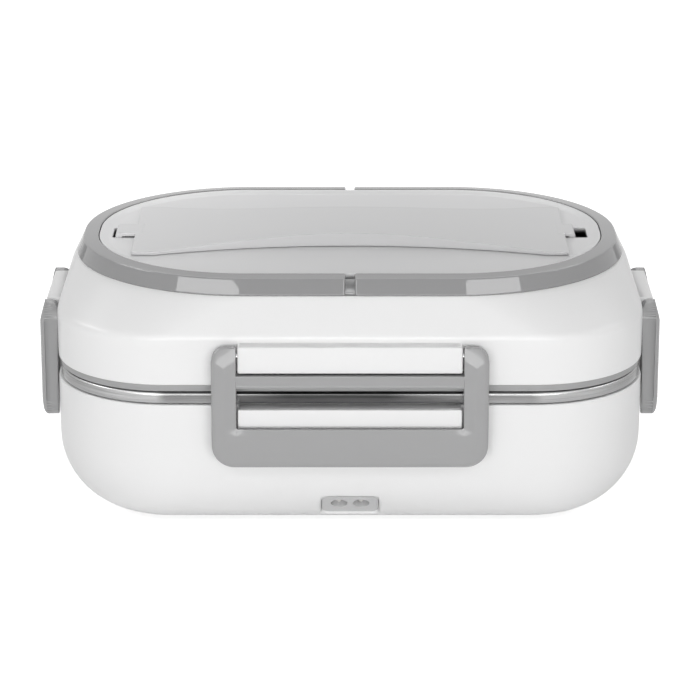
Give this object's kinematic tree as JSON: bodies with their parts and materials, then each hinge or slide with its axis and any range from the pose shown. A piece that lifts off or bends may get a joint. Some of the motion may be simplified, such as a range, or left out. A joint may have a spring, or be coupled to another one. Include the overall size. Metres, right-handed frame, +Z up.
{
  "type": "electric lunch box",
  "caption": "Heated lunch box: rounded white base with a steel container, lift-off lid with grey trim, strap handle and snap latches on all sides.",
  "frame": {"origin": "on the table, below the middle of the body", "axes": "+Z up, +X to the right along the body's length, front (with the power inlet) towards -Y"},
  "size_m": [0.2552, 0.1832, 0.111],
  "materials": {
    "shell_white": "smooth moulded white, soft gloss",
    "liner_white": "smooth moulded white",
    "panel_pale": "pale grey moulding, soft gloss",
    "handle_pale": "pale grey flexible moulding, satin",
    "trim_grey": "mid grey moulding, gloss",
    "latch_grey": "mid grey moulding, satin gloss",
    "gasket_silicone": "grey silicone",
    "container_steel": "drawn stainless steel, bright rim",
    "heater_aluminium": "turned, matt",
    "element_aluminium": "extruded case",
    "insulation": "pressed mica sheet",
    "spring_steel": "plain stamping",
    "screw_steel": "zinc plated",
    "pin_steel": "drawn wire",
    "thermostat_body": "phenolic body",
    "fuse_body": "sleeved",
    "inlet_grey": "fine texture",
    "contact_brass": "plated",
    "wire_brown": "sleeved wire",
    "wire_blue": "sleeved wire",
    "foot_rubber": "matt"
  },
  "bodies": {
    "base": {"base_shell": "shell_white", "base_liner": "liner_white", "heater_plate": "heater_aluminium", "heating_element": "element_aluminium", "insulation_pad": "insulation", "heater_clamp": "spring_steel", "clamp_screws": "screw_steel", "thermostat": "thermostat_body", "thermal_fuse": "fuse_body", "power_inlet": "inlet_grey", "inlet_pins": "contact_brass", "live_wire": "wire_brown", "neutral_wire": "wire_blue", "base_screws": "screw_steel", "foot_front_left": "foot_rubber", "foot_front_right": "foot_rubber", "foot_back_left": "foot_rubber", "foot_back_right": "foot_rubber"},
    "container": {"food_container": "container_steel"},
    "lid": {"lid_shell": "shell_white", "lid_liner": "liner_white", "lid_gasket": "gasket_silicone", "top_panel": "panel_pale", "trim_ring_left": "trim_grey", "trim_ring_right": "trim_grey", "trim_screws": "screw_steel", "pin_front": "pin_steel", "pin_back": "pin_steel", "pin_left": "pin_steel", "pin_right": "pin_steel"},
    "latch_front": {"latch_front": "latch_grey"},
    "latch_back": {"latch_back": "latch_grey"},
    "latch_left": {"latch_left": "latch_grey"},
    "latch_right": {"latch_right": "latch_grey"},
    "handle_grip": {"handle_grip": "handle_pale"},
    "handle_end_left": {"handle_end_left": "handle_pale"},
    "handle_end_right": {"handle_end_right": "handle_pale"}
  },
  "joints": [
    {"name": "container_lift", "type": "slide", "parent": "base", "child": "container", "axis": [0, 0, 1], "range_m": [0, 0.07]},
    {"name": "lid_lift", "type": "slide", "parent": "container", "child": "lid", "axis": [0, 0, 1], "range_m": [0, 0.08]},
    {"name": "latch_front_turn", "type": "hinge", "parent": "lid", "child": "latch_front", "pos_m": [0, -0.08742, 0.0792], "axis": [-1, 0, 0], "range_deg": [-1.6, 110]},
    {"name": "latch_back_turn", "type": "hinge", "parent": "lid", "child": "latch_back", "pos_m": [0, 0.08742, 0.0792], "axis": [1, 0, 0], "range_deg": [-1.6, 110]},
    {"name": "latch_left_turn", "type": "hinge", "parent": "lid", "child": "latch_left", "pos_m": [-0.12342, 0, 0.0792], "axis": [0, 1, 0], "range_deg": [-1.6, 110]},
    {"name": "latch_right_turn", "type": "hinge", "parent": "lid", "child": "latch_right", "pos_m": [0.12342, 0, 0.0792], "axis": [0, -1, 0], "range_deg": [-1.6, 110]},
    {"name": "handle_lift", "type": "slide", "parent": "lid", "child": "handle_grip", "axis": [0, 0, 1], "range_m": [0, 0.014]},
    {"name": "handle_left_bend", "type": "hinge", "parent": "handle_grip", "child": "handle_end_left", "pos_m": [-0.054, 0, 0.1057], "axis": [0, -1, 0], "range_deg": [0, 22]},
    {"name": "handle_right_bend", "type": "hinge", "parent": "handle_grip", "child": "handle_end_right", "pos_m": [0.054, 0, 0.1057], "axis": [0, 1, 0], "range_deg": [0, 22]}
  ],
  "couplings": [
    {"joint": "handle_left_bend", "follows": "handle_lift", "rad_per_m": 26.951},
    {"joint": "handle_right_bend", "follows": "handle_lift", "rad_per_m": 26.951}
  ]
}
